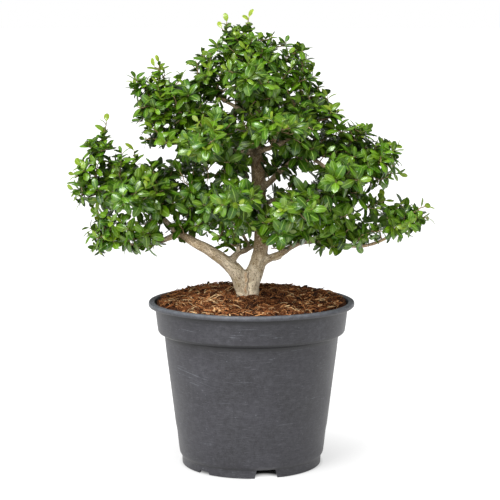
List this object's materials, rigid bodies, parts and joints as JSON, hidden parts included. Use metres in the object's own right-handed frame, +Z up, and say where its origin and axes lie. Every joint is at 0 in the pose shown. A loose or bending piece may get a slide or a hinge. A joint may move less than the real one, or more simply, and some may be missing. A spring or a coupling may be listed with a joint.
{
  "type": "potted japanese holly bonsai",
  "caption": "Small-leaved evergreen grown as a low-forked, informal upright tree with leafy sprays on spreading boughs, rooted in a mound of soil in a round black nursery pot.",
  "frame": {"origin": "middle of the pot's foot, on the surface that the pot stands on", "axes": "+Z up along the pot's axis and the trunk; +X to the right and -Y towards the viewer of the tree's front"},
  "size_m": [0.4107, 0.3131, 0.4939],
  "materials": {
    "pot_plastic": "satin",
    "potting_mix": "rough, fibrous",
    "bark": "rough, dry",
    "leaf": "glossy, waxy"
  },
  "bodies": {
    "root": {"pot": "pot_plastic", "soil": "potting_mix", "trunk_and_boughs": "bark", "spray_left_low_1": "leaf", "spray_left_low_2": "leaf", "spray_left_tip_1": "leaf", "spray_left_tip_2": "leaf", "spray_left_tip_3": "leaf", "spray_left_mid_1": "leaf", "spray_left_mid_2": "leaf", "spray_left_inner_1": "leaf", "spray_left_inner_2": "leaf", "spray_left_inner_3": "leaf", "spray_left_inner_4": "leaf", "spray_centre_low_1": "leaf", "spray_centre_low_2": "leaf", "spray_right_low_1": "leaf", "spray_right_low_2": "leaf", "spray_right_low_3": "leaf", "spray_right_tip_1": "leaf", "spray_right_tip_2": "leaf", "spray_right_mid_1": "leaf", "spray_right_mid_2": "leaf", "spray_right_mid_3": "leaf", "spray_right_mid_4": "leaf", "spray_right_inner_1": "leaf", "spray_right_inner_2": "leaf", "spray_centre_mid_1": "leaf", "spray_centre_mid_2": "leaf", "spray_centre_mid_3": "leaf", "spray_centre_mid_4": "leaf", "spray_left_up_1": "leaf", "spray_left_up_2": "leaf", "spray_left_up_3": "leaf", "spray_left_up_4": "leaf", "spray_left_up_inner_1": "leaf", "spray_left_up_inner_2": "leaf", "spray_left_up_inner_3": "leaf", "spray_top_1": "leaf", "spray_top_2": "leaf", "spray_top_3": "leaf", "spray_top_4": "leaf", "spray_top_5": "leaf", "spray_top_6": "leaf", "spray_top_7": "leaf", "spray_back_1": "leaf", "spray_back_2": "leaf", "spray_back_3": "leaf", "spray_back_4": "leaf", "spray_back_5": "leaf", "spray_back_6": "leaf", "spray_back_7": "leaf", "spray_back_8": "leaf", "spray_front_1": "leaf", "spray_front_2": "leaf", "spray_front_3": "leaf", "spray_front_4": "leaf", "spray_front_5": "leaf", "spray_front_6": "leaf", "spray_front_7": "leaf"}
  },
  "joints": []
}
